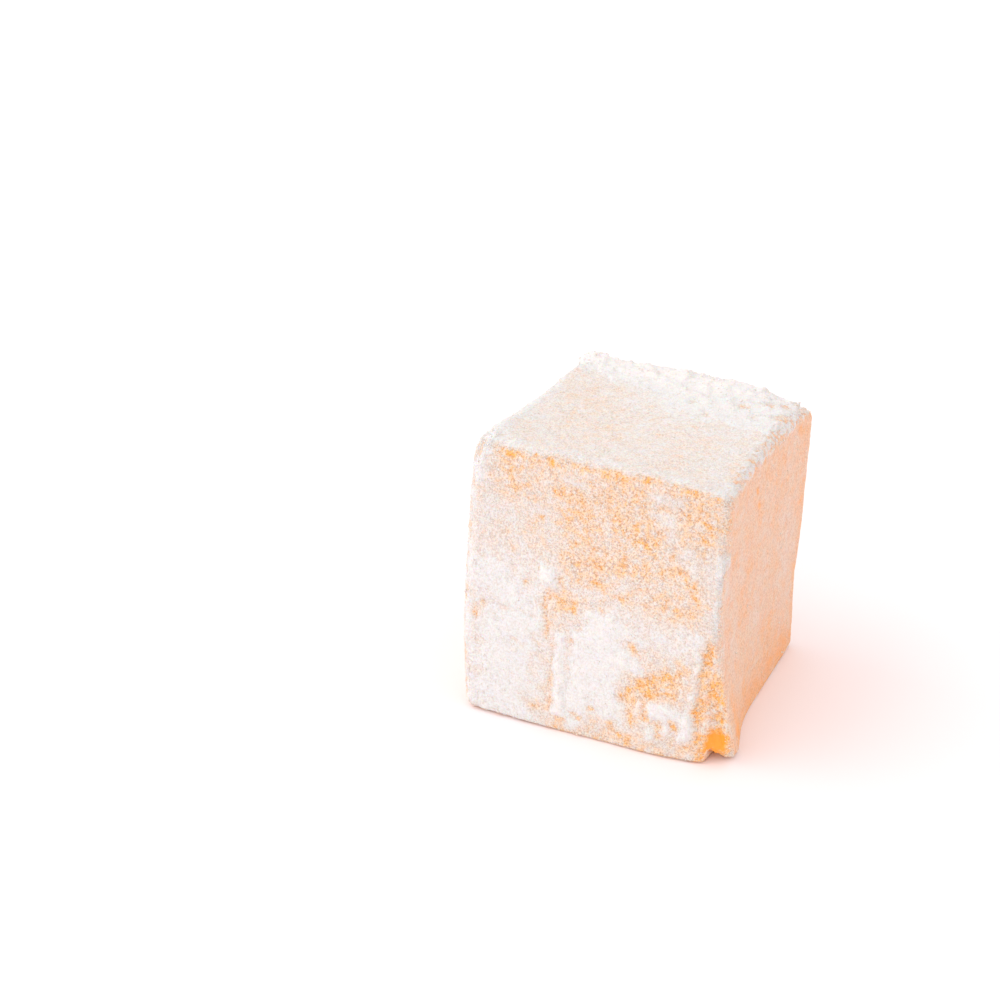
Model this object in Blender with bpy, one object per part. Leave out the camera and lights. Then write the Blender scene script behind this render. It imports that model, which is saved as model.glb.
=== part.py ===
"""One cube of Turkish delight, cut by hand from the slab and standing on a table.

It is a single soft block. Its cut faces bow and dish a little, its edges are rounded unevenly, its left
side has swollen, its two right-hand top corners have slumped, and the foot of its front right edge has
spread and torn.

X runs to the right along the front face, Y to the back and Z up. The origin is on the table, at the
middle of the block's bounding box. The scene is in metres.
"""

import math

import bmesh
import bpy
from mathutils import Vector, noise

MM = 0.001

# The block as the knife meant to cut it.
WIDTH = 25.6 * MM
DEPTH = 26.6 * MM
HEIGHT = 28.6 * MM

# The mesh: cells along each side of each face, crowded towards the edges.
CELLS = 28

# A place on the block is named by the side it is on along X, Y and Z, each -1, 0 or 1: three sides make
# a corner, two the middle of an edge and one the middle of a face.

# The radius of the rounded edges, and how much more or less of it there is at some places.
EDGE_RADIUS = 0.9 * MM
RADIUS_CHANGES = {
    (0, -1, 1): -0.5 * MM,
    (-1, -1, 1): 1.3 * MM,
    (-1, 1, 1): 0.6 * MM,
    (-1, -1, -1): 0.2 * MM,
    (1, -1, -1): -0.2 * MM,
    (1, 0, 1): 0.2 * MM,
    (0, -1, -1): -0.45 * MM,
    (1, 0, -1): -0.4 * MM,
    (-1, 0, -1): -0.1 * MM,
    (0, 1, -1): -0.3 * MM,
}

# How far each place of the real block stands off the sharp box, in millimetres along X, Y and Z.
PUSHES = {
    (-1, -1, 1): (-0.8, -0.1, 0.6),
    (-1, 1, 1): (0.3, 0.6, 0.6),
    (1, -1, 1): (-0.3, -0.1, -0.4),
    (1, 1, 1): (0.1, -0.2, -0.1),
    (-1, -1, -1): (-1.3, -0.5, 0.0),
    (1, -1, -1): (-0.55, -0.5, 0.0),
    (1, 1, -1): (-0.2, -0.1, 0.0),
    (-1, 1, -1): (-0.2, 0.3, 0.0),
    (-1, -1, 0): (-0.6, 0.0, 0.0),
    (1, -1, 0): (-0.4, 0.1, 0.0),
    (-1, 1, 0): (-0.5, 0.2, 0.0),
    (-1, 0, 1): (0.0, 0.0, -0.2),
    (1, 0, 1): (-0.5, 0.0, 0.3),
    (0, 1, 1): (0.0, 0.1, 0.2),
    (0, -1, -1): (0.0, -0.6, 0.0),
    (-1, 0, -1): (-0.3, 0.0, 0.0),
    (0, 1, -1): (0.0, 0.4, 0.0),
    (0, 0, 1): (0.0, 0.0, -0.2),
    (-1, 0, 0): (-0.7, 0.0, 0.0),
    (0, 1, 0): (0.0, 0.5, 0.0),
}

# Smaller dents and swellings, in millimetres: where each is centred, how far it reaches along X, Y
# and Z, and how far it pushes the surface at its centre.
DENTS = (
    ((12.5, -13.3, 28.4), (4.5, 4.5, 6.0), (0.0, 0.0, -0.8)),  # slumped front right corner
    ((12.5, 13.1, 28.4), (4.5, 4.5, 6.0), (0.0, 0.0, -1.2)),  # slumped back right corner
    ((-12.8, -9.0, 29.0), (4.0, 3.5, 4.0), (0.0, 0.0, 0.5)),  # hump behind the front left corner
    ((13.0, -13.0, 0.0), (6.0, 6.0, 8.5), (1.9, 0.0, 0.0)),  # foot spread to the right
    ((6.8, -14.5, 2.0), (4.5, 3.0, 4.5), (0.0, -0.55, 0.0)),  # pad beside the tear
    ((10.9, -14.0, 4.0), (0.8, 3.0, 6.0), (0.0, 0.7, 0.0)),  # tear up the front face
    ((11.1, -13.5, 0.0), (0.6, 2.6, 1.4), (0.0, 1.2, 1.3)),  # notch beside the foot
    ((12.6, -12.8, 0.4), (0.8, 1.8, 2.2), (0.4, 0.7, 0.4)),  # toe of the foot
    ((13.0, 13.0, 8.0), (3.5, 3.5, 5.0), (-0.3, -0.4, 0.0)),  # hollow low on the back right edge
)

# The knife's faint waviness: its height and length, and the height over which it fades out towards
# the table, where the block has settled flat.
WAVE_HEIGHT = 0.12 * MM
WAVE_LENGTH = 6.0 * MM
WAVE_FADE = 2.0 * MM
WAVE_SEED = 4

# The look of the whole piece: pale orange jelly under a coat of fine white powder.
COLOUR = (0.90, 0.76, 0.66)
ROUGHNESS = 0.85
METALLIC = 0.0


def reach_along(side, along):
    """How strongly a push at side -1, 0 or 1 is felt at a place from -1 to 1 along the same axis."""
    return 1 - along * along if side == 0 else (1 + side * along) / 2


def reach(place, share):
    """How strongly a push at this named place is felt at a point, given as a share of the box."""
    return math.prod(reach_along(side, along) for side, along in zip(place, share))


def crowd(along):
    """Moves an evenly spaced grid line, from -1 to 1, towards the nearer edge."""
    return math.sin(along * math.pi / 2)


def round_edges(point, half, radius):
    """Where a point of the sharp box lies once the box's edges are rounded to this radius."""
    core = Vector([max(radius - h, min(h - radius, p)) for p, h in zip(point, half)])
    return core + radius * (point - core).normalized()


def dent(point, centre, reaches, push):
    """How far one dent moves this point."""
    away = [(p - c * MM) / (r * MM) for p, c, r in zip(point, centre, reaches)]
    return Vector(push) * MM * math.exp(-sum(a * a for a in away))


def shaped(share):
    """Where a point of the block's surface lies, from its place on a cube that runs from -1 to 1."""
    half = Vector((WIDTH, DEPTH, HEIGHT)) / 2
    radius = EDGE_RADIUS + sum(reach(place, share) * more for place, more in RADIUS_CHANGES.items())
    point = round_edges(Vector([s * h for s, h in zip(share, half)]), half, radius)
    box_share = [p / h for p, h in zip(point, half)]
    pushed = [reach(place, box_share) * Vector(push) * MM for place, push in PUSHES.items()]
    point += sum(pushed, Vector((0, 0, half.z)))
    point += sum((dent(point, *each) for each in DENTS), Vector())
    fade = min(1, point.z / WAVE_FADE)
    return point + WAVE_HEIGHT * fade * noise.noise_vector(point / WAVE_LENGTH)


def make_block():
    """The block's mesh: a cube cut into a grid, with each of its points moved to its place."""
    mesh = bmesh.new()
    bmesh.ops.create_cube(mesh, size=2)
    bmesh.ops.subdivide_edges(mesh, edges=mesh.edges, cuts=CELLS - 1, use_grid_fill=True)
    for vertex in mesh.verts:
        vertex.co = shaped([crowd(along) for along in vertex.co])
    return mesh


def centre(mesh):
    """Moves the block so that the origin is on the table, at the middle of its bounding box."""
    low = Vector([min(vertex.co[axis] for vertex in mesh.verts) for axis in range(3)])
    high = Vector([max(vertex.co[axis] for vertex in mesh.verts) for axis in range(3)])
    middle = (low + high) / 2
    bmesh.ops.translate(mesh, vec=(-middle.x, -middle.y, -low.z), verts=mesh.verts)


def make_material():
    """The powdered jelly."""
    material = bpy.data.materials.new("powdered_jelly")
    material.use_nodes = True
    surface = material.node_tree.nodes["Principled BSDF"].inputs
    surface["Base Color"].default_value = (*COLOUR, 1)
    surface["Roughness"].default_value = ROUGHNESS
    surface["Metallic"].default_value = METALLIC
    return material


def main():
    for old in list(bpy.data.objects):
        bpy.data.objects.remove(old, do_unlink=True)
    noise.seed_set(WAVE_SEED)
    data = bpy.data.meshes.new("turkish_delight")
    block = make_block()
    centre(block)
    block.to_mesh(data)
    block.free()
    data.shade_smooth()
    data.materials.append(make_material())
    cube = bpy.data.objects.new("turkish_delight", data)
    bpy.context.scene.collection.objects.link(cube)


main()
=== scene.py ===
"""The looks of one cube of Turkish delight: translucent orange jelly under a coat of fine white powder.

The cube's body is rebuilt at a fine spacing from the same named sizes as the CAD solid and stands in
for it, with the powder's relief on it. Loose grains and specks of powder lie on top. Sizes here are in
millimetres, and the scene is in metres. X runs to the right along the front face, Y to the back and Z
up.
"""

import math

import bmesh
import bpy
import numpy as np
from mathutils import Matrix, Vector, noise


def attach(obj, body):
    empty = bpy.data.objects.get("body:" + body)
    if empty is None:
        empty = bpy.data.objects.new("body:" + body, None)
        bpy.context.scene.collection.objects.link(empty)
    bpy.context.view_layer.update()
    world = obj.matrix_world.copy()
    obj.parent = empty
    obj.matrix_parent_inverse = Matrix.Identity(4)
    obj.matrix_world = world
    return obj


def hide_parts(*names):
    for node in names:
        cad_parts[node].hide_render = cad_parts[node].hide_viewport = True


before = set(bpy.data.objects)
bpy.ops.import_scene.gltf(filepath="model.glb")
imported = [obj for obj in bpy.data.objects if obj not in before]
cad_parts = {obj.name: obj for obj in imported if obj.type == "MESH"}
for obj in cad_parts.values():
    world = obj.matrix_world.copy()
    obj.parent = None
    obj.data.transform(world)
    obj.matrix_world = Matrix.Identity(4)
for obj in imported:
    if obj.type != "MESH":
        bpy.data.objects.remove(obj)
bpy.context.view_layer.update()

MM = 0.001

# The block: half its box, the radius of its edges, how much more or less of it there is at some places,
# and how far each place stands off the sharp box. A place is named by the side it is on along X, Y and
# Z, each -1, 0 or 1.
HALF = np.array([25.6, 26.6, 28.6]) / 2
EDGE_RADIUS = 0.9
RADIUS_CHANGES = {
    (0, -1, 1): -0.5,
    (-1, -1, 1): 1.3,
    (-1, 1, 1): 0.6,
    (-1, -1, -1): 0.2,
    (1, -1, -1): -0.2,
    (1, 0, 1): 0.2,
    (0, -1, -1): -0.45,
    (1, 0, -1): -0.4,
    (-1, 0, -1): -0.1,
    (0, 1, -1): -0.3,
}
PUSHES = {
    (-1, -1, 1): (-0.8, -0.1, 0.6),
    (-1, 1, 1): (0.3, 0.6, 0.6),
    (1, -1, 1): (-0.3, -0.1, -0.4),
    (1, 1, 1): (0.1, -0.2, -0.1),
    (-1, -1, -1): (-1.3, -0.5, 0.0),
    (1, -1, -1): (-0.55, -0.5, 0.0),
    (1, 1, -1): (-0.2, -0.1, 0.0),
    (-1, 1, -1): (-0.2, 0.3, 0.0),
    (-1, -1, 0): (-0.6, 0.0, 0.0),
    (1, -1, 0): (-0.4, 0.1, 0.0),
    (-1, 1, 0): (-0.5, 0.2, 0.0),
    (-1, 0, 1): (0.0, 0.0, -0.2),
    (1, 0, 1): (-0.5, 0.0, 0.3),
    (0, 1, 1): (0.0, 0.1, 0.2),
    (0, -1, -1): (0.0, -0.6, 0.0),
    (-1, 0, -1): (-0.3, 0.0, 0.0),
    (0, 1, -1): (0.0, 0.4, 0.0),
    (0, 0, 1): (0.0, 0.0, -0.2),
    (-1, 0, 0): (-0.7, 0.0, 0.0),
    (0, 1, 0): (0.0, 0.5, 0.0),
}
# Dents and swellings, placed before the block is centred: where each is, how far it reaches along X, Y
# and Z, and how far it pushes the surface at its centre.
DENTS = (
    ((12.5, -13.3, 28.4), (4.5, 4.5, 6.0), (0.0, 0.0, -0.8)),  # slumped front right corner
    ((12.5, 13.1, 28.4), (4.5, 4.5, 6.0), (0.0, 0.0, -1.2)),  # slumped back right corner
    ((-12.8, -9.0, 29.0), (4.0, 3.5, 4.0), (0.0, 0.0, 0.5)),  # hump behind the front left corner
    ((13.0, -13.0, 0.0), (6.0, 6.0, 8.5), (1.9, 0.0, 0.0)),  # foot spread to the right
    ((6.8, -14.5, 2.0), (4.5, 3.0, 4.5), (0.0, -0.55, 0.0)),  # pad beside the tear
    ((10.9, -14.0, 4.0), (0.8, 3.0, 6.0), (0.0, 0.7, 0.0)),  # tear up the front face
    ((13.0, 13.0, 8.0), (3.5, 3.5, 5.0), (-0.3, -0.4, 0.0)),  # hollow low on the back right edge
)
# The notch and the toe, finer than the CAD solid has them.
FINE_DENTS = (
    ((11.3, -13.6, 6.0), (0.9, 1.5, 4.0), (0.0, 0.25, 0.0)),  # crease of the tear
    ((10.5, -13.5, 0.0), (0.35, 1.6, 1.2), (-0.35, 0.3, 1.1)),  # steep left side of the notch
    ((11.15, -13.5, 0.0), (0.5, 1.6, 1.2), (-0.3, 0.5, 0.6)),  # roof of the notch
    ((11.9, -13.5, 0.0), (0.6, 2.6, 1.5), (-0.3, 0.8, 0.1)),  # hollow between notch and toe
    ((12.9, -13.2, 0.0), (0.9, 2.2, 2.4), (0.1, 1.4, 0.0)),  # toe of the foot
)
# The middle of the CAD solid's footprint before it is centred, which is where the origin goes.
MIDDLE = (-0.2283, -0.1559, 0)
# The knife's faint waviness: its height and length, and the height over which it fades out towards the
# table.
WAVE_HEIGHT = 0.12
WAVE_LENGTH = 6.0
WAVE_FADE = 2.0
WAVE_SEED = 4

# The fine mesh: cells along each side of each face, and how much they crowd towards the edges.
CELLS = 128
CROWDING = 0.35

# Marks in the powder, each on one face of the centred block: a stroke through points of that face, its
# width, how much more or less powder it holds, and how far it stands out. On the front and the back a
# point is (x, z), on the sides (y, z) and on the top and the bottom (x, y).
MARKS = {
    "front": (
        # powder lies thick over the lower left, the middle and the pad, and thins out upwards
        (((-12, 1.5), (-11.5, 10)), 3.6, 0.3, 0.04),
        (((-7, 1.5), (-7, 10.5)), 3.2, 0.3, 0.04),
        (((-12, 15.6), (-7.5, 14.4)), 2.8, 0.24, 0.02),
        (((-12, 25.5), (-12.5, 17)), 1.8, 0.14, 0),
        (((-9.5, 21.5), (-6.5, 19)), 2.4, 0.13, 0),
        # a crisp crust over the middle, which the bare arc bounds
        (((-1.6, 2.4), (-1.0, 10.5)), 1.5, 0.42, 0.06),
        (((1.6, 3.6), (1.3, 12.0)), 1.6, 0.45, 0.07),
        (((3.2, 9.2), (4.6, 8.9)), 0.8, 0.45, 0.06),
        (((-0.2, 13.0), (1.2, 13.2)), 0.8, 0.35, 0.05),
        (((-1.0, 15.4), (1.6, 15.2)), 0.9, 0.2, 0),
        # jelly that shows through across the upper middle and right, and white below it
        (((-8.9, 27.3), (-8.6, 24.8)), 0.8, -0.11, 0),
        (((-3.4, 25.6), (-1.9, 25.5)), 0.6, -0.13, 0),
        (((-3.2, 24.8), (-3.1, 23.2)), 0.5, -0.14, 0),
        (((-1.3, 24.2), (-1.2, 22.4)), 0.6, -0.13, 0),
        (((1.2, 27.6), (3.6, 27.2)), 0.9, -0.08, 0),
        (((0.9, 26.0), (1.6, 24.8)), 1.0, -0.11, 0),
        (((3.2, 23.2), (5.4, 22.6)), 1.4, -0.1, 0),
        (((3.8, 21.2), (5.0, 20.9)), 0.7, -0.1, 0),
        (((-0.2, 20.8), (0.1, 19.2), (0.2, 17.2)), 0.55, -0.13, 0),
        (((2.2, 19.8), (3.6, 18.6)), 0.8, -0.11, 0),
        (((4.7, 19.4), (5.4, 18.6)), 0.6, -0.13, 0),
        (((6.6, 19.6), (8.0, 19.4)), 0.5, -0.12, 0),
        (((-3.0, 18.6), (-1.4, 17.6)), 0.8, -0.08, 0),
        (((9.2, 27.3), (8.7, 25.2)), 0.6, -0.14, 0),
        (((10.7, 26.6), (10.8, 22.4)), 0.7, -0.1, 0),
        (((9.6, 17.8), (9.9, 16.4)), 0.6, -0.14, 0),
        (((2.2, 15.8), (3.2, 15.4)), 0.5, -0.13, 0),
        (((5.8, 16.0), (7.6, 15.4)), 0.8, -0.08, 0),
        (((4.5, 12.5), (8.5, 12.0)), 2.4, 0.24, 0),
        (((8.8, 9.5), (9.6, 9.2)), 0.5, -0.13, 0),
        # a bare strip under the top edge, a thin darker line that paints the shadow under the top's
        # powder where it overhangs
        (((-10.6, 28.3), (-7.4, 28.3)), 0.35, -0.12, 0),
        (((-6.6, 28.45), (-4.6, 28.3)), 0.45, -0.22, 0),
        (((-4, 28.3), (12, 27.5)), 0.25, -0.14, 0),
        # white patches
        (((-11.5, 24.0), (-9.5, 16.0)), 3.0, 0.03, 0),
        (((8.5, 17.0), (9.5, 12.0)), 2.5, 0.03, 0),
        (((-3.4, 27.0), (-2.4, 26.4)), 0.6, 0.21, 0.04),
        (((-5.4, 26), (-4.9, 20.5)), 0.8, 0.11, 0.02),
        (((5.8, 26.8), (7.8, 26.4)), 0.6, 0.16, 0.03),
        (((6.9, 24.6), (7.2, 22.4)), 0.7, 0.22, 0.04),
        (((5.2, 25.4), (5.9, 24.7)), 0.5, 0.13, 0.03),
        (((8.9, 21.6), (9.8, 19.9)), 0.8, 0.18, 0.04),
        (((11.4, 21.2), (11.2, 15.2)), 0.7, 0.11, 0.02),
        (((1.4, 17.1), (3.2, 17.0)), 0.6, 0.11, 0.02),
        (((10.3, 13.0), (10.5, 9.6)), 0.55, 0.13, 0.03),
        (((12.1, 21.4), (12.0, 20.4)), 0.5, 0.5, 0.2),
        (((12.1, 20.2), (12.1, 17.2)), 0.4, 0.34, 0.06),
        (((11.9, 16.6), (12.1, 13.3)), 0.45, 0.26, 0.03),
        (((-12.0, 28.6), (-13.0, 26)), 0.9, 0.45, 0.05),
        (((-13.4, 25), (-13.8, 8)), 0.6, 0.2, 0.04),
        # a smooth lump, a ring beside it and bare spots round them
        (((-4.95, 16.9), (-4.9, 16.0)), 0.75, 0.6, 0.26),
        (((-5.75, 17.4), (-5.8, 16.6)), 0.2, -0.4, -0.06),
        (((-3.6, 16.8), (-3.3, 16.3)), 0.3, -0.3, -0.05),
        (((-3.9, 17.0), (-3.0, 16.9), (-2.9, 16.0)), 0.22, 0.25, 0.1),
        (((-4.9, 14.9), (-4.7, 14.3)), 0.35, -0.4, -0.06),
        (((-3.7, 14.1), (-2.2, 13.9)), 0.4, -0.28, -0.06),
        (((-2.3, 13.7), (-2.1, 13.2)), 0.3, -0.24, -0.04),
        (((-7.4, 15.5), (-7.0, 15.6)), 0.2, -0.4, -0.06),
        (((-6.6, 17.8),), 0.25, -0.35, -0.05),
        (((-5.7, 22.5),), 0.25, -0.45, -0.06),
        (((-7.2, 25.5),), 0.22, -0.35, -0.05),
        (((10.8, 24.6),), 0.3, -0.5, -0.08),
        # a groove down the face and the ridge it runs into
        (((-5.1, 13.9), (-4.9, 10.2)), 0.28, -0.24, -0.14),
        (((-3.4, 10.4), (-3.4, 2.2)), 0.5, 0.4, 0.09),
        (((-4.3, 10), (-4.3, 2.4)), 0.25, -0.14, -0.1),
        (((-2.3, 8), (-2.5, 3)), 0.25, -0.06, -0.08),
        # a groove across the left, with pits below it
        (((-12.8, 11.9), (-10.8, 12.5), (-9.0, 12.3), (-6.2, 11.9)), 0.22, -0.14, -0.1),
        (((-12.6, 11.4), (-12.4, 10.6)), 0.35, -0.4, -0.04),
        (((-11.8, 12.2), (-11.7, 10.8)), 0.3, -0.2, 0),
        (((-8.3, 9.2),), 0.3, -0.25, -0.06),
        (((-6.1, 9.2), (-5.5, 9.0)), 0.25, -0.2, -0.05),
        (((-6.4, 6.6),), 0.25, -0.25, -0.05),
        (((-2.1, 10.3),), 0.25, -0.3, -0.05),
        (((0.7, 14.1), (0.9, 13.8)), 0.3, -0.2, -0.05),
        # the bare arc over the pad and its two limbs
        (((3.3, 5.6), (4.0, 6.6), (5.4, 7.4), (6.8, 8.0), (7.9, 8.3)), 0.5, -0.36, -0.04),
        (((5.6, 6.4), (8.0, 6.8)), 0.5, -0.28, 0),
        (((4.4, 5.6), (3.9, 4.2), (4.3, 3.0)), 0.45, -0.28, 0),
        (((5.9, 5.2), (5.8, 3.8)), 0.4, -0.34, -0.04),
        (((4.0, 10.8), (4.2, 10.6)), 0.36, -0.4, -0.06),
        # the pad's lumps and the bare spots between them
        (((6.8, 5.2), (8.0, 4.9), (9.8, 5.0)), 0.8, 0.34, 0.12),
        (((10.5, 9.6), (10.0, 6.0)), 0.45, 0.2, 0.05),
        (((7.8, 4.2), (7.9, 3.0)), 0.34, 0.2, 0.06),
        (((9.4, 4.6), (9.8, 3.4), (9.5, 2.4)), 0.5, 0.3, 0.1),
        (((6.2, 3.2), (6.6, 2.2)), 0.45, 0.18, 0.05),
        (((6.8, 3.7), (7.1, 3.0), (7.2, 2.2)), 0.4, -0.36, -0.06),
        (((8.3, 4.1), (8.8, 3.3)), 0.34, -0.36, -0.06),
        (((2.4, 1.9), (3.6, 1.0)), 0.6, -0.35, 0),
        (((8.6, 1.9), (10.4, 1.7)), 0.4, -0.3, 0),
        # spots along the foot, and its bare bottom edge, a thin orange line that paints the contact shade
        # where the block meets the floor
        (((-13, -0.2), (9, -0.2)), 0.4, -0.4, 0),
        (((5.0, 3.4), (10.4, 3.0)), 2.2, 0.17, 0),
        (((-1.9, 2.4), (-1.1, 2.2)), 0.36, -0.5, -0.04),
        (((-0.1, 3.4), (0.6, 3.4)), 0.28, -0.5, -0.04),
        (((-6.4, 2.4), (-4.4, 2.8)), 0.6, -0.24, 0),
        (((-3.4, 1.6), (-2.6, 1.5)), 0.35, -0.3, 0),
        # the tear: a crease, the torn strip beside it with its ridges, and the bare chip at its foot
        (((11.5, 12.6), (11.3, 11.0), (10.7, 8.4)), 0.32, -0.34, -0.25),
        (((11.5, 11.6), (11.2, 9.8)), 0.6, -0.1, 0),
        (((10.7, 8.4), (10.8, 5.8)), 0.25, 0, -0.2),
        (((10.9, 5.8), (10.7, 4.4), (10.9, 2.6)), 0.42, -0.38, -0.3),
        (((12.2, 8.6), (12.6, 4.6)), 1.0, -0.35, 0),
        (((11.5, 7.6), (11.4, 6.6)), 0.2, 0.24, 0.08),
        (((11.6, 5.3), (12.9, 6.1)), 0.18, 0.3, 0.16),
        (((11.7, 4.6), (11.8, 3.6)), 0.22, 0.24, 0.08),
        (((12.5, 4.3), (13.4, 4.6), (14.1, 4.5)), 0.22, 0.36, 0.14),
        # the bare chip, deepest on the left and paler to the right; the grading also paints the shading
        # across it
        (((11.9, 2.0), (12.8, 2.9)), 0.85, -0.8, -0.1),
        (((13.0, 2.2), (13.5, 3.2)), 0.6, -0.55, -0.04),
        (((12.3, 1.6), (13.1, 1.8)), 0.45, -0.45, 0),
        (((13.7, 3.0), (13.9, 2.2)), 0.4, -0.2, 0),
        # bare jelly in the notch, whose deep orange also paints the glow of light through the jelly in
        # the notch's shade
        (((11.2, 0.3), (12.2, 1.0)), 0.5, -0.6, 0),
        (((13.0, 0.3), (13.9, 0.5), (14.3, 1.6)), 0.25, 0.22, 0.03),
    ),
    "right": (
        # soft pale streaks, and a paler part low at the back
        (((-7.6, 24.0), (-8.6, 8.0)), 1.6, 0.06, 0),
        (((0.4, 22.0), (-1.6, 6.0)), 1.8, 0.06, 0),
        (((7.4, 24.0), (6.4, 12.0)), 2.0, 0.05, 0),
        (((8.2, 15.0), (9.2, 8.0)), 3.0, 0.07, 0),
        # bare specks near the top
        (((-3.9, 24.9), (-3.6, 24.5)), 0.26, -0.28, -0.05),
        (((-2.8, 23.1), (-2.5, 22.6)), 0.26, -0.28, -0.05),
        (((4.3, 25.4), (5.3, 24.4)), 0.4, -0.1, 0),
        (((9.3, 26.6), (11.3, 25.8)), 0.7, -0.12, 0),
        (((-12.3, 28.0), (12.7, 28.0)), 0.5, 0.08, 0),
        # the front edge: white above, grains that thin out below
        (((-13.2, 21.5), (-13.5, 14.0)), 0.35, 0.24, 0.06),
        (((-12.9, 21.3), (-12.2, 21.0)), 0.6, 0.34, 0.14),
        (((-12.1, 19.0), (-12.5, 12.0)), 0.9, 0.12, 0.02),
        (((-12.7, 11.0), (-12.5, 4.0)), 0.9, 0.08, 0.02),
        # deeper jelly at the foot, which paints the orange glow of light through the jelly near the floor
        (((-7.3, 1.0), (11.7, 1.2)), 1.8, -0.14, 0),
        (((-3.3, 4.5), (7.7, 3.5)), 3.0, -0.06, 0),
        (((-9.9, 2.6), (-8.9, 1.0)), 0.8, -0.3, 0),
        (((-11.3, 6.5), (-10.3, 1.5)), 1.1, -0.12, 0),
        (((-10.3, -0.2), (12.3, -0.2)), 0.5, -0.3, 0),
        (((11.6, 20.0), (11.8, 4.0)), 0.8, -0.06, 0),
    ),
    "top": (
        # the heap along the back, wider to the right, and the pits in it
        (((-10.2, 11.7), (11.0, 11.3)), 2.0, 0.45, 0.36),
        (((-6.5, 9.5), (-3.0, 9.1)), 1.6, 0.3, 0.12),
        (((0.0, 8.3), (9.6, 7.3)), 2.6, 0.32, 0.2),
        (((2.0, 4.7), (9.4, 3.3)), 2.0, 0.22, 0.05),
        (((-11.9, 12.1), (-10.4, 12.5)), 1.1, 0.2, 0.22),
        (((10.6, 7.7), (11.4, 1.7)), 1.2, 0.2, 0.06),
        (((0.4, 12.3), (0.6, 11.3)), 0.5, -0.3, -0.04),
        (((2.2, 6.1), (2.4, 5.6)), 0.35, -0.5, -0.1),
        (((4.4, 4.1), (4.7, 3.3)), 0.4, -0.3, -0.08),
        (((7.0, 7.0), (7.7, 6.8)), 0.5, -0.6, -0.1),
        (((8.3, 12.3), (8.7, 11.5)), 0.6, -0.4, -0.04),
        (((9.5, 9.1), (9.7, 8.2)), 0.6, -0.8, -0.1),
        (((10.6, 10.1), (11.2, 9.3)), 0.5, -0.7, -0.06),
        (((11.7, 12.3), (12.0, 11.1)), 0.5, -0.5, -0.05),
        (((11.4, 5.8), (11.7, 5.1)), 0.6, -0.6, -0.08),
        (((9.0, 4.7), (9.4, 4.1)), 0.4, -0.4, -0.06),
        (((11.2, -6.9), (11.6, -9.7)), 0.6, -0.2, 0),
        (((12.2, 12.7), (12.2, -12.3)), 0.35, -0.12, 0),
        # the rolled left edge and the rims
        (((-12.3, 11.7), (-12.2, -11.8)), 0.9, 0.28, 0.06),
        (((-11.6, -11.9), (-9.0, -12.1)), 0.9, 0.16, 0.03),
        (((-8.0, -12.3), (11.6, -12.1)), 0.5, 0.08, 0.02),
        (((-10.0, -13.2), (12.0, -13.2)), 0.3, -0.3, 0),
        # thinner powder left of the middle
        (((-11.4, 9.2), (-11.2, 5.3)), 0.5, -0.22, 0),
        (((-8.8, 3.1), (-8.7, 0.3)), 0.6, -0.12, 0),
        (((-7.0, 4.7), (-5.0, -6.3)), 3.5, -0.06, 0),
        (((0.0, -3.3), (6.0, -7.3)), 3.5, -0.04, 0),
    ),
    "left": (
        (((-8.3, 22), (-6.3, 6)), 3.0, 0.15, 0.04),
        (((5.7, 20), (7.7, 5)), 3.0, -0.15, 0),
        (((-12.3, 1.5), (11.7, 1.5)), 1.2, -0.12, 0),
    ),
    "back": (
        (((-8.2, 24), (-6.2, 8)), 3.0, 0.14, 0.03),
        (((4.8, 22), (6.8, 6)), 3.5, -0.1, 0),
        (((-12.2, 1.5), (11.8, 1.5)), 1.4, -0.15, 0),
    ),
    "bottom": (
        # bare underside at the notch, whose deep orange also paints the glow of light through the jelly
        # in the notch's shade
        (((10.6, -13.2), (12.0, -11.5)), 1.0, -0.7, 0),
    ),
}

# How each face is powdered before its marks: how much powder, how grainy and how streaked.
COATS = {
    "front": (0.645, 1.0, 0.0),
    "right": (0.46, 0.2, 0.35),
    "top": (0.85, 0.85, 0.0),
    "left": (0.6, 0.8, 0.3),
    "back": (0.55, 0.6, 0.5),
    "bottom": (0.45, 0.6, 0.2),
}
# The two axes that a place on each face is given by, and which way the face looks. The right face is
# taken to lean up, so that the top's powder ends at the rim.
FACES = {
    "front": ((0, 2), (0, -1, 0)),
    "back": ((0, 2), (0, 1, 0)),
    "right": ((1, 2), (0.94, 0, 0.34)),
    "left": ((1, 2), (-1, 0, 0)),
    "top": ((0, 1), (0, 0, 1)),
    "bottom": ((0, 1), (0, 0, -1)),
}

# How much the random spots and streaks add to the powder or take from it.
SPOTS = 0.16
STREAKS = 0.04

# Where a grainy coat is thick it turns into a crust: the amounts of powder at which the crust starts and
# is whole, the powder that it adds, and how far it stands out.
CRUST_STARTS, CRUST_WHOLE = 0.92, 1.04
CRUST_POWDER, CRUST_HEIGHT = 0.2, 0.07

# Powder clings even to the barest grainy face, except on the chip: below this amount, this share of the
# lack is made good.
CLINGS_BELOW = 0.42
CLINGING_SHARE = 0.65

# The bare chip at the foot of the tear, on the front face: its middle, its reach and how much less
# grainy it is.
CHIP_MIDDLE = (12.6, 2.2)
CHIP_REACH = 1.3
CHIP_SMOOTHNESS = 0.4

# Scattered powder: how many of each, and their smallest and largest size, and how many shapes they share.
GRAINS = (9800, 0.10, 0.26)
SPECKS = (24800, 0.07, 0.15)
BALL_SHAPES = 200
SEED = 7

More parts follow.
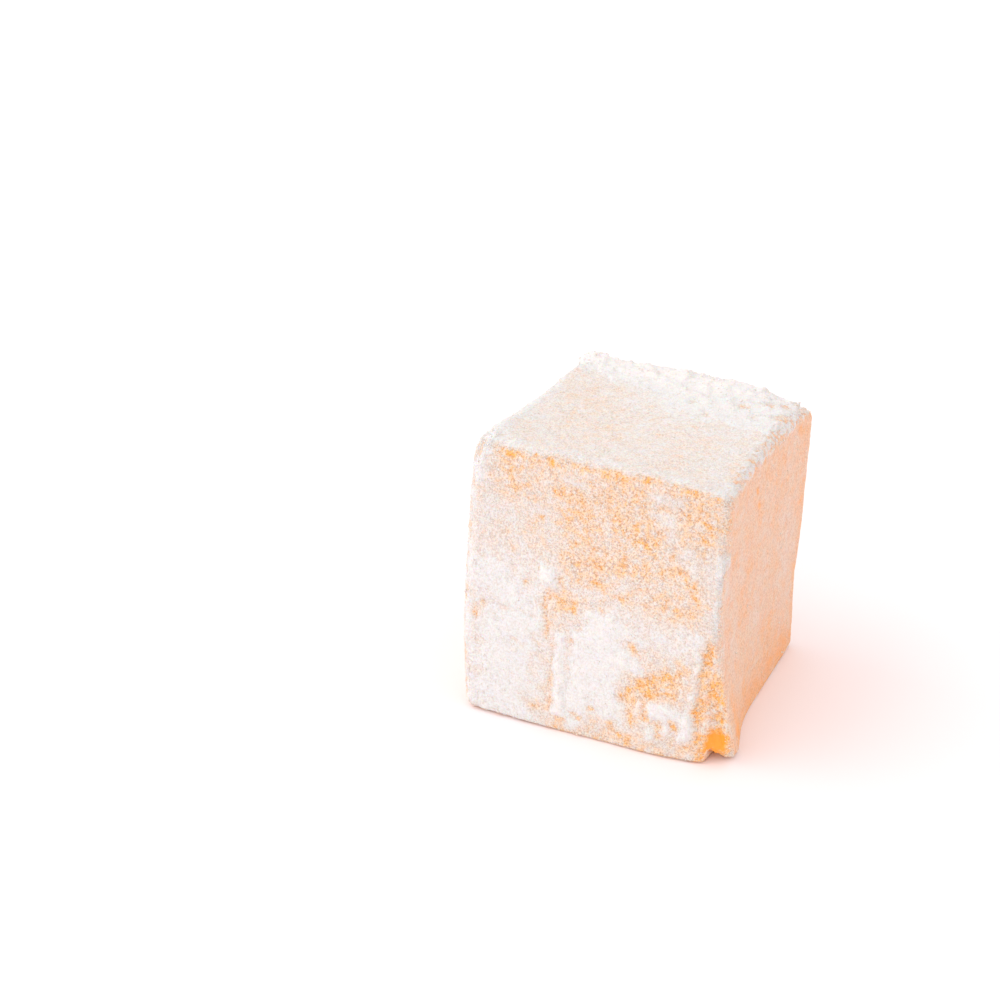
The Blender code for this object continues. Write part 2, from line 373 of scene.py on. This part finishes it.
# Colours from bare jelly to heaped powder, each with the amount of powder it stands for: where the coat
# is grainy, as seen in even light, and where it is a smooth film, mostly on the right face, pinker as
# painted shade there.
GRAINY_COAT = (
    (0.0, (1.0, 0.65, 0.19)),
    (0.22, (0.982, 0.752, 0.44)),
    (0.5, (0.942, 0.826, 0.705)),
    (0.75, (0.912, 0.876, 0.842)),
    (1.0, (0.892, 0.895, 0.892)),
    (1.3, (0.892, 0.895, 0.892)),
    (1.6, (0.925, 0.912, 0.903)),
)
SMOOTH_COAT_SHADE_TINTED = (
    (0.0, (0.995, 0.62, 0.17)),
    (0.22, (0.975, 0.7, 0.475)),
    (0.5, (0.922, 0.793, 0.71)),
    (0.75, (0.905, 0.86, 0.835)),
    (1.0, (0.892, 0.892, 0.889)),
    (1.3, (0.892, 0.892, 0.889)),
    (1.6, (0.925, 0.912, 0.903)),
)
# Loose grains on thick powder and on bare jelly, warmer there to paint the orange glow of light through
# the jelly, and the painted shade in the gaps between grains, as what it leaves of the colour.
GRAIN = (0.92, 0.906, 0.892)
GLOW_WARMED_GRAIN = (0.94, 0.826, 0.705)
GAP_SHADE = (0.67, 0.51, 0.43, 1)

# The studio: the floor's colour and half its side in metres, the sky's colour and strength, and each
# light's direction, strength and width in degrees.
FLOOR_COLOUR = (0.99, 0.915, 0.93, 1)
FLOOR_HALF = 3.0
SKY_COLOUR = (1.015, 0.975, 0.965, 1)
SKY_STRENGTH = 1.02
LIGHTS = {
    "key": ((-0.6, -0.2, 0.78), 0.6, 40),
    "fill": ((-0.3, -0.9, 0.3), 0.55, 50),
}

# The camera: where it stands, in millimetres, which way its back points, its roll and its lens.
CAMERA = (53.4, -155.37, 92.42)
CAMERA_BACK = (0.3734, -0.8344, 0.4055)
CAMERA_ROLL = math.radians(0.491)
LENS = 64.17


def linear(colour):
    """A colour as it is seen, in the linear values that shaders take, with full alpha."""
    return (*[c / 12.92 if c <= 0.04045 else ((c + 0.055) / 1.055) ** 2.4 for c in colour], 1)


def lumps(points, size, shift=0):
    """Smooth random values from about -1 to 1 at these points, with lumps of this size."""
    offset = Vector((shift * 17.3, shift * 5.1, shift * 11.7))
    return np.array([noise.noise(Vector(point) / size + offset) for point in points]) * 1.6


def step(value, low, high):
    """0 below low, 1 above high, and smooth between."""
    share = np.clip((value - low) / (high - low), 0, 1)
    return share * share * (3 - 2 * share)


def reach(place, share):
    """How strongly a push at this named place is felt at points given as shares of the box."""
    felt = np.ones(len(share))
    for side, along in zip(place, share.T):
        felt *= 1 - along * along if side == 0 else (1 + side * along) / 2
    return felt


def shape(share):
    """The block's surface, in millimetres, at places given on a cube that runs from -1 to 1."""
    radius = EDGE_RADIUS + sum(reach(place, share) * more for place, more in RADIUS_CHANGES.items())
    radius = radius[:, None]
    sharp = share * HALF
    core = np.clip(sharp, radius - HALF, HALF - radius)
    away = sharp - core
    points = core + radius * away / np.linalg.norm(away, axis=1, keepdims=True)
    box_share = points / HALF
    for place, push in PUSHES.items():
        points = points + reach(place, box_share)[:, None] * np.array(push)
    points = points + (0, 0, HALF[2])
    moved = np.zeros_like(points)
    for centre, reaches, push in DENTS + FINE_DENTS:
        away = (points - centre) / reaches
        moved += np.exp(-(away**2).sum(axis=1))[:, None] * np.array(push)
    points = points + moved
    fade = np.minimum(1, points[:, 2:] / WAVE_FADE)
    noise.seed_set(WAVE_SEED)
    waves = np.array([noise.noise_vector(Vector(point) / WAVE_LENGTH) for point in points])
    return points + WAVE_HEIGHT * fade * waves


def block_grid():
    """A cube from -1 to 1 with its faces cut into a grid, crowded a little towards the edges."""
    mesh = bmesh.new()
    bmesh.ops.create_cube(mesh, size=2)
    bmesh.ops.subdivide_edges(mesh, edges=mesh.edges, cuts=CELLS - 1, use_grid_fill=True)
    for vertex in mesh.verts:
        vertex.co = [along + CROWDING * (math.sin(along * math.pi / 2) - along) for along in vertex.co]
    return mesh


def distance_to_stroke(places, stroke):
    """How far each place of a face is from the stroke through these points."""
    nearest = np.full(len(places), np.inf)
    ends = stroke if len(stroke) > 1 else stroke * 2
    for start, end in zip(ends, ends[1:]):
        start, run = np.array(start, float), np.array(end, float) - start
        along = np.clip((places - start) @ run / max(run @ run, 1e-9), 0, 1)
        nearest = np.minimum(nearest, np.linalg.norm(places - start - along[:, None] * run, axis=1))
    return nearest


def right_rim(points):
    """1 along the top right edge, where loose grains have gathered, and 0 away from it."""
    return step(points[:, 2], 26.8, 28) * step(points[:, 0], 11.0, 12.0)


def front_rim(points):
    """1 along the front right edge, where the front's grains run on to the side, and 0 away from it."""
    return step(-points[:, 1], 11.3, 12.9) * step(points[:, 0], 11.2, 12.0)


def chip(points):
    """1 in the middle of the bare chip at the foot of the tear, and 0 away from it."""
    return np.exp(-((points[:, (0, 2)] - CHIP_MIDDLE) ** 2).sum(axis=1) / CHIP_REACH**2)


def lumpy_vectors(points, size, shifts):
    """One random value for each of these shifts at each point, side by side."""
    return np.stack([lumps(points, size, shift) for shift in shifts], axis=1)


def powder_coat(points, normals):
    """The powder at each point: how much lies there, how grainy it is and how thick it stands."""
    rim = right_rim(points)
    spots = 0.35 * lumps(points, 2.6, 1) + 0.45 * lumps(points, 1.1, 2) + 0.35 * lumps(points, 0.5, 3)
    streaks = lumps(points * (1, 1, 0.16), 1.1, 6) + 0.6 * lumps(points * (1, 1, 0.3), 3.0, 7)
    # the edges of the marks wander and fray
    fringe = lumpy_vectors(points, 1.2, (4, 5)) * 0.55
    frays = lumpy_vectors(points, 0.45, (12, 13)) * 0.16
    # one face's powder runs raggedly into the next one's, most of all along the right rim
    raggedness = 0.25 + 0.5 * rim[:, None]
    leaning = normals + raggedness * lumpy_vectors(points, 0.9, (14, 15, 16))
    leaning += 0.7 * raggedness * lumpy_vectors(points, 0.4, (17, 18, 19))
    amount, grain, thick, total = (np.zeros(len(points)) for _ in range(4))
    for face, (axes, outward) in FACES.items():
        weight = np.clip(leaning @ np.array(outward, float), 0.01, 1) ** 9
        places = points[:, axes]
        coat, graininess, streaking = COATS[face]
        here, height = np.full(len(points), coat), np.zeros(len(points))
        for stroke, width, more, proud in MARKS[face]:
            ragged = places + fringe * min(1, width) + frays
            felt = np.exp(-((distance_to_stroke(ragged, stroke) / width) ** 2))
            here += felt * more
            height += felt * proud
        here += spots * SPOTS * (0.7 + 0.3 * graininess) + streaks * STREAKS * streaking
        crust = graininess * step(here + 0.1 * fringe[:, 0], CRUST_STARTS, CRUST_WHOLE)
        here += CRUST_POWDER * crust
        height += CRUST_HEIGHT * crust
        amount += weight * here
        grain += weight * graininess
        thick += weight * height
        total += weight
    grain = np.maximum(grain / total, 0.3 * rim + 0.4 * front_rim(points))
    # grains gather in clumps along the right rim
    clumps = step(lumps(points, 0.5, 20) + 0.5 * lumps(points, 1.4, 21), -0.25, 0.25)
    amount = amount / total + rim * (0.5 * clumps - 0.05)
    thick = thick / total + rim * 0.06 * clumps
    lack = np.clip(CLINGS_BELOW - amount, 0, None)
    amount += CLINGING_SHARE * grain * lack * (1 - chip(points))
    return amount, grain * (1 - CHIP_SMOOTHNESS * chip(points)), thick


def relief(points, amount, grain, thick):
    """How far the coated surface stands off the bare block at each point. Heaped powder is puffy."""
    puffs = 0.3 * np.hypot(lumps(points, 2.2, 8), 0.5) + 0.22 * step(lumps(points, 1.0, 9), 0.1, 0.9)
    puffs += 0.07 * step(lumps(points, 0.55, 22), 0.2, 0.9)
    rough = 0.03 * lumps(points, 1.6, 10) + (0.02 + 0.02 * grain) * lumps(points, 0.45, 11)
    heaped = step(thick, 0.06, 0.3)
    height = thick + heaped * (puffs - 0.2) + rough + 0.05 * np.clip(amount, 0, 1)
    return height * step(points[:, 2], 0.0, 0.5)


def mesh_object(name, data, material):
    """An object in the scene with this mesh and material, shaded smooth."""
    data.shade_smooth()
    data.materials.append(material)
    made = bpy.data.objects.new(name, data)
    bpy.context.scene.collection.objects.link(made)
    return made


def normals_of(mesh, points):
    """The outward normals of a bmesh whose points are these."""
    for vertex, point in zip(mesh.verts, points):
        vertex.co = point
    mesh.normal_update()
    return np.array([vertex.normal for vertex in mesh.verts])


def make_body(material):
    """The coated block. It also returns what the scattered powder needs to know of its surface."""
    mesh = block_grid()
    points = shape(np.array([vertex.co for vertex in mesh.verts]))
    points -= MIDDLE
    normals = normals_of(mesh, points)
    amount, grain, thick = powder_coat(points, normals)
    points = points + normals * relief(points, amount, grain, thick)[:, None]
    points[:, 2] = np.maximum(points[:, 2], 0)
    normals = normals_of(mesh, points)
    for vertex, point in zip(mesh.verts, points):
        vertex.co = point * MM
    data = bpy.data.meshes.new("powdered_jelly_body")
    mesh.to_mesh(data)
    mesh.free()
    for name, values in (("powder", amount), ("grain", grain)):
        data.attributes.new(name, "FLOAT", "POINT").data.foreach_set("value", values.astype(np.float32))
    return mesh_object("powdered_jelly_body", data, material), points, normals, amount, thick


def make_scatter(name, material, rng, places, sizes, glow_tints, sides):
    """Many small lumps of powder in one mesh, each a dented ball. Its sides say how round a ball is."""
    ball = bmesh.new()
    bmesh.ops.create_uvsphere(ball, u_segments=sides, v_segments=max(2, sides // 2), radius=0.5)
    bmesh.ops.triangulate(ball, faces=ball.faces)
    unit = np.array([vertex.co for vertex in ball.verts])
    faces = np.array([[vertex.index for vertex in face.verts] for face in ball.faces])
    ball.free()
    shapes = []
    for _ in range(BALL_SHAPES):
        dents = 1 + 0.12 * rng.standard_normal((len(unit), 1)).clip(-1.5, 1.5)
        turn = np.array(Matrix.Rotation(rng.uniform(0, math.tau), 3, Vector(rng.standard_normal(3))))
        shapes.append((unit * dents * rng.uniform(0.75, 1.2, 3)) @ turn.T)
    chosen = rng.integers(len(shapes), size=len(places))
    corners = np.array(shapes)[chosen] * sizes[:, None, None] + places[:, None]
    corners[..., 2] = np.maximum(corners[..., 2], 0.01)
    all_faces = faces[None] + (np.arange(len(places)) * len(unit))[:, None, None]
    data = bpy.data.meshes.new(name)
    data.from_pydata((corners.reshape(-1, 3) * MM).tolist(), [], all_faces.reshape(-1, 3).tolist())
    # each ball's warmth, which paints the orange glow of light through the jelly
    shade = data.attributes.new("glow_tint", "FLOAT", "POINT")
    shade.data.foreach_set("value", np.repeat(glow_tints, len(unit)).astype(np.float32))
    return mesh_object(name, data, material)


def add_node(tree, kind, **settings):
    """A shader node with these inputs set: a value, or another node's output to link."""
    node = tree.nodes.new(kind)
    for name, value in settings.items():
        name = name.replace("_", " ")
        if isinstance(value, bpy.types.NodeSocket):
            tree.links.new(value, node.inputs[name])
        else:
            node.inputs[name].default_value = value
    return node


def maths(tree, operation, first, second):
    """Two values put through a maths node, each a number or another node's output."""
    node = tree.nodes.new("ShaderNodeMath")
    node.operation = operation
    for socket, value in zip(node.inputs, (first, second)):
        if isinstance(value, bpy.types.NodeSocket):
            tree.links.new(value, socket)
        else:
            socket.default_value = value
    return node.outputs[0]


def ramp(tree, value, stops):
    """A colour ramp over this value, which may go beyond 1."""
    last = stops[-1][0]
    node = tree.nodes.new("ShaderNodeValToRGB")
    tree.links.new(remap(tree, value, 0, last, 0, 1), node.inputs[0])
    elements = node.color_ramp.elements
    while len(elements) < len(stops):
        elements.new(0.5)
    for element, (place, colour) in zip(elements, stops):
        element.position, element.color = place / last, linear(colour)
    return node.outputs[0]


def blend(tree, kind, share, first, second):
    """The first colour with as much of the second mixed or multiplied in as the share says."""
    node = tree.nodes.new("ShaderNodeMix")
    node.data_type, node.blend_type = "RGBA", kind
    tree.links.new(share, node.inputs["Factor"])
    tree.links.new(first, node.inputs["A"])
    if isinstance(second, bpy.types.NodeSocket):
        tree.links.new(second, node.inputs["B"])
    else:
        node.inputs["B"].default_value = second
    return node.outputs["Result"]


def remap(tree, value, low, high, first, last):
    """A value that goes from first to last as this one goes from low to high."""
    ends = {"From_Min": low, "From_Max": high, "To_Min": first, "To_Max": last}
    return add_node(tree, "ShaderNodeMapRange", Value=value, **ends).outputs[0]


def read_attribute(tree, name):
    """What the mesh says under this name at each point."""
    node = tree.nodes.new("ShaderNodeAttribute")
    node.attribute_name = name
    return node.outputs["Fac"]


def noise_texture(tree, scale, detail, roughness):
    """Random values from 0 to 1, in lumps of about 1 / scale metres."""
    place = tree.nodes.new("ShaderNodeTexCoord").outputs["Object"]
    settings = {"Scale": scale, "Detail": detail, "Roughness": roughness}
    return add_node(tree, "ShaderNodeTexNoise", Vector=place, **settings).outputs[0]


def new_material(name):
    """A new material, with its node tree and its surface shader."""
    material = bpy.data.materials.new(name)
    material.use_nodes = True
    return material, material.node_tree, material.node_tree.nodes["Principled BSDF"]


def jelly_material():
    """Jelly where the coat is thin and powder where it is thick, speckled between."""
    material, tree, surface = new_material("powdered_jelly")
    powder, grain = read_attribute(tree, "powder"), read_attribute(tree, "grain")
    fine = maths(tree, "SUBTRACT", noise_texture(tree, 3800, 3, 0.75), 0.5)
    coarse = maths(tree, "SUBTRACT", noise_texture(tree, 1500, 2, 0.6), 0.5)
    fine, coarse = maths(tree, "MULTIPLY", fine, 0.6), maths(tree, "MULTIPLY", coarse, 0.95)
    speckle = maths(tree, "ADD", fine, coarse)
    speckle = maths(tree, "MULTIPLY", speckle, remap(tree, powder, 0.4, 1.0, 1.5, 0.28))
    cover = maths(tree, "ADD", powder, maths(tree, "MULTIPLY", speckle, grain))
    # the smooth film's ramp carries the painted pink shade of the right face
    colour = blend(tree, "MIX", grain, ramp(tree, cover, SMOOTH_COAT_SHADE_TINTED), ramp(tree, cover, GRAINY_COAT))
    # painted shade in the gaps between grains, deepest where the coat is grainy and neither bare nor
    # thick
    gap_shade = remap(tree, noise_texture(tree, 5200, 2, 0.7), 0.36, 0.56, 1, 0)
    for depth in (
        remap(tree, powder, 0.5, 1.0, 1, 0.34),
        remap(tree, powder, 1.2, 1.6, 1, 0.3),
        remap(tree, powder, 0, 0.3, 0, 1),
        remap(tree, grain, 0, 1, 0.48, 1),
    ):
        gap_shade = maths(tree, "MULTIPLY", gap_shade, depth)
    colour = blend(tree, "MULTIPLY", gap_shade, colour, GAP_SHADE)
    tree.links.new(colour, surface.inputs["Base Color"])
    tree.links.new(remap(tree, cover, 0.05, 0.4, 0.38, 0.85), surface.inputs["Roughness"])
    bump = add_node(tree, "ShaderNodeBump", Height=cover, Strength=0.9, Distance=0.0001)
    tree.links.new(bump.outputs[0], surface.inputs["Normal"])
    surface.inputs["Subsurface Weight"].default_value = 0.3
    surface.inputs["Subsurface Radius"].default_value = (1.0, 0.45, 0.2)
    surface.inputs["Subsurface Scale"].default_value = 1.6 * MM
    return material


def powder_material():
    """Loose powder, warmer where the jelly shows round it: painted orange glow of light through the jelly
    on the grains.
    """
    material, tree, surface = new_material("powder")
    mottling = maths(tree, "MULTIPLY", noise_texture(tree, 2500, 3, 0.7), 0.3)
    shade = maths(tree, "ADD", read_attribute(tree, "glow_tint"), mottling)
    colour = ramp(tree, shade, ((0.1, GRAIN), (1.0, GLOW_WARMED_GRAIN)))
    tree.links.new(colour, surface.inputs["Base Color"])
    surface.inputs["Roughness"].default_value = 0.85
    surface.inputs["Subsurface Weight"].default_value = 0.3
    surface.inputs["Subsurface Radius"].default_value = (1.0, 0.8, 0.7)
    surface.inputs["Subsurface Scale"].default_value = 0.3 * MM
    return material


def scatter_powder(material, points, normals, amount, thick):
    """The grains lie mostly along the edges, and the specks wherever there is powder."""
    rng = np.random.default_rng(SEED)
    top = np.clip(normals[:, 2], 0, 1)
    front = np.clip(-normals[:, 1], 0, 1)
    heap = step(thick, 0.1, 0.35) * top
    rim = right_rim(points)
    front_edge = step(points[:, 0], 11.2, 12.2) * step(-points[:, 1], 12.5, 13.3)
    front_edge = front_edge * step(points[:, 2], 10, 13)
    covered = step(amount, 0.35, 0.9)
    thin = 1 - 0.7 * step(amount, 0.8, 1.0)
    grains = 0.05 * heap + 0.15 * rim + 0.5 * front_edge + 0.2 * front * thin + 0.06 * covered
    specks = 0.5 * front * thin + 0.3 * top * (1 - heap) + 0.15 * covered * (1 - heap)
    for name, (count, smallest, largest), sides, weight in (
        ("powder_grains", GRAINS, 5, grains),
        ("powder_specks", SPECKS, 4, specks),
    ):
        weight = weight * (points[:, 2] > 0.3) * (0.3 + 0.7 * covered) * step(amount, -0.1, 0.2)
        chosen = rng.choice(len(points), count, p=weight / weight.sum())
        sizes = smallest + (largest - smallest) * rng.random(count) ** 2
        aside = rng.normal(0, 0.1, (count, 3))
        out = normals[chosen]
        aside -= out * (aside * out).sum(axis=1, keepdims=True)
        places = points[chosen] + aside + out * (sizes * rng.uniform(-0.25, 0.1, count))[:, None]
        # grains are warmer where the jelly shows: painted orange glow of light through the jelly
        glow_tints = (0.1 + 1.3 * np.clip(0.95 - amount[chosen], 0, 1)) * rng.uniform(0.2, 1.2, count)
        made = make_scatter(name, material, rng, places, sizes, glow_tints, sides)
        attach(made, "root")


def make_light(name, came_from, strength, spread):
    """A far soft light that shines from this direction, as wide in the sky as spread, in degrees."""
    data = bpy.data.lights.new(name, "SUN")
    data.energy, data.angle = strength, math.radians(spread)
    light = bpy.data.objects.new(name, data)
    light.rotation_euler = (-Vector(came_from)).to_track_quat("-Z", "Y").to_euler()
    bpy.context.scene.collection.objects.link(light)


def make_studio():
    """A white floor, a soft light from the upper left, a fainter one from the front and a white sky."""
    material, _, surface = new_material("studio_floor")
    surface.inputs["Base Color"].default_value = FLOOR_COLOUR
    surface.inputs["Roughness"].default_value = 0.9
    data = bpy.data.meshes.new("floor")
    corners = [(x * FLOOR_HALF, y * FLOOR_HALF, 0) for x, y in ((-1, -1), (1, -1), (1, 1), (-1, 1))]
    data.from_pydata(corners, [], [(0, 1, 2, 3)])
    data.materials.append(material)
    floor = bpy.data.objects.new("floor", data)
    bpy.context.scene.collection.objects.link(floor)
    for name, (came_from, strength, spread) in LIGHTS.items():
        make_light(name, came_from, strength, spread)
    world = bpy.data.worlds.new("white_room")
    world.use_nodes = True
    sky = world.node_tree.nodes["Background"].inputs
    sky["Color"].default_value = SKY_COLOUR
    sky["Strength"].default_value = SKY_STRENGTH
    bpy.context.scene.world = world
    bpy.context.scene.view_settings.view_transform = "Standard"


def make_camera():
    """The camera, at the photo's viewing angle."""
    data = bpy.data.cameras.new("camera")
    data.sensor_width, data.lens = 36, LENS
    data.clip_start, data.clip_end = 0.01, 20
    back = Vector(CAMERA_BACK).normalized()
    level = Vector((0, 0, 1)).cross(back).normalized()
    right = math.cos(CAMERA_ROLL) * level + math.sin(CAMERA_ROLL) * back.cross(level)
    turn = Matrix((right, back.cross(right), back)).transposed()
    camera = bpy.data.objects.new("camera", data)
    camera.matrix_world = Matrix.Translation(Vector(CAMERA) * MM) @ turn.to_4x4()
    bpy.context.scene.collection.objects.link(camera)
    bpy.context.scene.camera = camera


make_camera()
make_studio()
body, *surface_facts = make_body(jelly_material())
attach(body, "root")
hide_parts("turkish_delight")
scatter_powder(powder_material(), *surface_facts)
